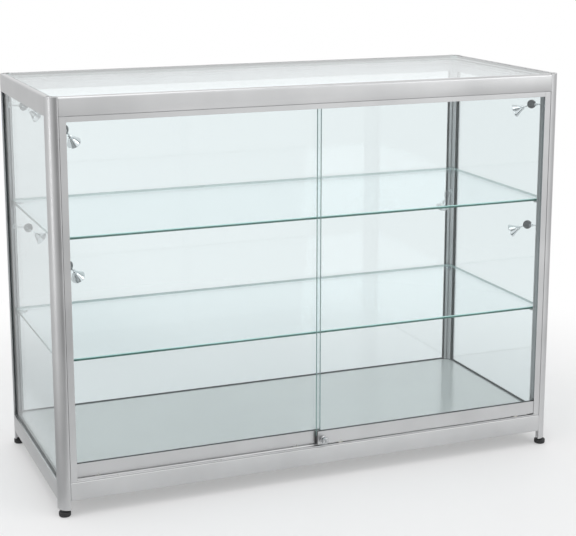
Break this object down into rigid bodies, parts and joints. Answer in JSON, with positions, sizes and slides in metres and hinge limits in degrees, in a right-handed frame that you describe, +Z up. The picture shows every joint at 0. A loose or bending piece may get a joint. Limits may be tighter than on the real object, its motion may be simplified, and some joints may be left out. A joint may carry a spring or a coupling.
{
  "type": "glass display showcase",
  "caption": "Counter-height aluminium-framed glass showcase with sliding glass doors, glass shelves, tilting spotlights, a push lock and levelling feet.",
  "frame": {"origin": "on the floor under the middle of the case", "axes": "+Z up, +X along the doors to the right as seen from the door side, the doors on the -Y side"},
  "size_m": [1.2, 0.5151, 0.9],
  "materials": {
    "anodised_aluminium": "satin anodised",
    "clear_glass": "clear float glass",
    "shelf_glass": "clear float glass with polished edges",
    "black_seal": "matt black",
    "black_plastic": "matt black",
    "base_board": "pale grey laminate, half gloss",
    "zinc_casting": "dull nickel",
    "plated_steel": "zinc plated",
    "clear_pads": "translucent",
    "nylon": "natural nylon",
    "polished_chrome": "mirror",
    "foot_rubber": "satin black"
  },
  "bodies": {
    "case": {"post_front_left": "anodised_aluminium", "post_front_right": "anodised_aluminium", "post_back_right": "anodised_aluminium", "post_back_left": "anodised_aluminium", "top_rail_front": "anodised_aluminium", "top_rail_back": "anodised_aluminium", "top_rail_left": "anodised_aluminium", "top_rail_right": "anodised_aluminium", "bottom_rail_front": "anodised_aluminium", "bottom_rail_back": "anodised_aluminium", "bottom_rail_left": "anodised_aluminium", "bottom_rail_right": "anodised_aluminium", "rail_connectors": "zinc_casting", "glass_left": "clear_glass", "glass_right": "clear_glass", "glass_back": "clear_glass", "glass_top": "clear_glass", "panel_seals": "black_seal", "base_panel": "base_board", "door_track_bottom": "anodised_aluminium", "door_track_top": "anodised_aluminium", "door_jamb_left": "anodised_aluminium", "door_jamb_right": "anodised_aluminium", "track_screws": "plated_steel", "shelf_clips": "zinc_casting", "shelf_clip_screws": "plated_steel", "shelf_pads": "clear_pads", "shelf_lower": "shelf_glass", "shelf_upper": "shelf_glass", "light_brackets": "polished_chrome"},
    "door_right": {"door_glass_right": "clear_glass", "door_shoe_right": "anodised_aluminium", "shoe_seal_right": "black_seal", "shoe_caps_right": "black_plastic", "roller_axles_right": "plated_steel", "lock_housing": "polished_chrome"},
    "door_left": {"door_glass_left": "clear_glass", "door_shoe_left": "anodised_aluminium", "shoe_seal_left": "black_seal", "shoe_caps_left": "black_plastic", "roller_axles_left": "plated_steel"},
    "roller_right_1": {"roller_right_1": "nylon"},
    "roller_right_2": {"roller_right_2": "nylon"},
    "roller_left_1": {"roller_left_1": "nylon"},
    "roller_left_2": {"roller_left_2": "nylon"},
    "lock_button": {"lock_button": "polished_chrome"},
    "lock_plug": {"lock_plug": "polished_chrome"},
    "light_upper_front_left": {"light_upper_front_left": "polished_chrome"},
    "light_upper_front_right": {"light_upper_front_right": "polished_chrome"},
    "light_upper_back_right": {"light_upper_back_right": "polished_chrome"},
    "light_upper_back_left": {"light_upper_back_left": "polished_chrome"},
    "light_lower_front_left": {"light_lower_front_left": "polished_chrome"},
    "light_lower_front_right": {"light_lower_front_right": "polished_chrome"},
    "light_lower_back_right": {"light_lower_back_right": "polished_chrome"},
    "light_lower_back_left": {"light_lower_back_left": "polished_chrome"},
    "foot_front_left": {"foot_front_left": "foot_rubber"},
    "foot_front_right": {"foot_front_right": "foot_rubber"},
    "foot_back_right": {"foot_back_right": "foot_rubber"},
    "foot_back_left": {"foot_back_left": "foot_rubber"}
  },
  "joints": [
    {"name": "right_door_slide", "type": "slide", "parent": "case", "child": "door_right", "axis": [1, 0, 0], "range_m": [-0.555, 0]},
    {"name": "left_door_slide", "type": "slide", "parent": "case", "child": "door_left", "axis": [1, 0, 0], "range_m": [0, 0.555]},
    {"name": "roller_right_1_roll", "type": "hinge", "parent": "door_right", "child": "roller_right_1", "pos_m": [0.053, -0.2435, 0.08552], "axis": [0, 1, 0], "continuous": true},
    {"name": "roller_right_2_roll", "type": "hinge", "parent": "door_right", "child": "roller_right_2", "pos_m": [0.5125, -0.2435, 0.08552], "axis": [0, 1, 0], "continuous": true},
    {"name": "roller_left_1_roll", "type": "hinge", "parent": "door_left", "child": "roller_left_1", "pos_m": [-0.5125, -0.2335, 0.08552], "axis": [0, 1, 0], "continuous": true},
    {"name": "roller_left_2_roll", "type": "hinge", "parent": "door_left", "child": "roller_left_2", "pos_m": [-0.053, -0.2335, 0.08552], "axis": [0, 1, 0], "continuous": true},
    {"name": "lock_push", "type": "slide", "parent": "door_right", "child": "lock_button", "axis": [0, 1, 0], "range_m": [0, 0.006], "stiffness_N_per_m": 200},
    {"name": "key_turn", "type": "hinge", "parent": "lock_button", "child": "lock_plug", "pos_m": [0.008, -0.2475, 0.09402], "axis": [0, 1, 0], "range_deg": [0, 90]},
    {"name": "light_upper_front_left_tilt", "type": "hinge", "parent": "case", "child": "light_upper_front_left", "pos_m": [-0.55272, -0.20272, 0.826], "axis": [-0.7071, 0.7071, 0], "range_deg": [-65, 35]},
    {"name": "light_upper_front_right_tilt", "type": "hinge", "parent": "case", "child": "light_upper_front_right", "pos_m": [0.55272, -0.20272, 0.826], "axis": [-0.7071, -0.7071, 0], "range_deg": [-45, 55]},
    {"name": "light_upper_back_right_tilt", "type": "hinge", "parent": "case", "child": "light_upper_back_right", "pos_m": [0.55272, 0.20272, 0.826], "axis": [0.7071, -0.7071, 0], "range_deg": [-60, 40]},
    {"name": "light_upper_back_left_tilt", "type": "hinge", "parent": "case", "child": "light_upper_back_left", "pos_m": [-0.55272, 0.20272, 0.826], "axis": [0.7071, 0.7071, 0], "range_deg": [-50, 50]},
    {"name": "light_lower_front_left_tilt", "type": "hinge", "parent": "case", "child": "light_lower_front_left", "pos_m": [-0.55272, -0.20272, 0.539], "axis": [-0.7071, 0.7071, 0], "range_deg": [-65, 35]},
    {"name": "light_lower_front_right_tilt", "type": "hinge", "parent": "case", "child": "light_lower_front_right", "pos_m": [0.55272, -0.20272, 0.539], "axis": [-0.7071, -0.7071, 0], "range_deg": [-45, 55]},
    {"name": "light_lower_back_right_tilt", "type": "hinge", "parent": "case", "child": "light_lower_back_right", "pos_m": [0.55272, 0.20272, 0.539], "axis": [0.7071, -0.7071, 0], "range_deg": [-60, 40]},
    {"name": "light_lower_back_left_tilt", "type": "hinge", "parent": "case", "child": "light_lower_back_left", "pos_m": [-0.55272, 0.20272, 0.539], "axis": [0.7071, 0.7071, 0], "range_deg": [-50, 50]},
    {"name": "foot_front_left_level", "type": "slide", "parent": "case", "child": "foot_front_left", "axis": [0, 0, -1], "range_m": [0, 0.012]},
    {"name": "foot_front_right_level", "type": "slide", "parent": "case", "child": "foot_front_right", "axis": [0, 0, -1], "range_m": [0, 0.012]},
    {"name": "foot_back_right_level", "type": "slide", "parent": "case", "child": "foot_back_right", "axis": [0, 0, -1], "range_m": [0, 0.012]},
    {"name": "foot_back_left_level", "type": "slide", "parent": "case", "child": "foot_back_left", "axis": [0, 0, -1], "range_m": [0, 0.012]}
  ],
  "couplings": [
    {"joint": "roller_right_1_roll", "follows": "right_door_slide", "rad_per_m": 125},
    {"joint": "roller_right_2_roll", "follows": "right_door_slide", "rad_per_m": 125},
    {"joint": "roller_left_1_roll", "follows": "left_door_slide", "rad_per_m": 125},
    {"joint": "roller_left_2_roll", "follows": "left_door_slide", "rad_per_m": 125}
  ]
}
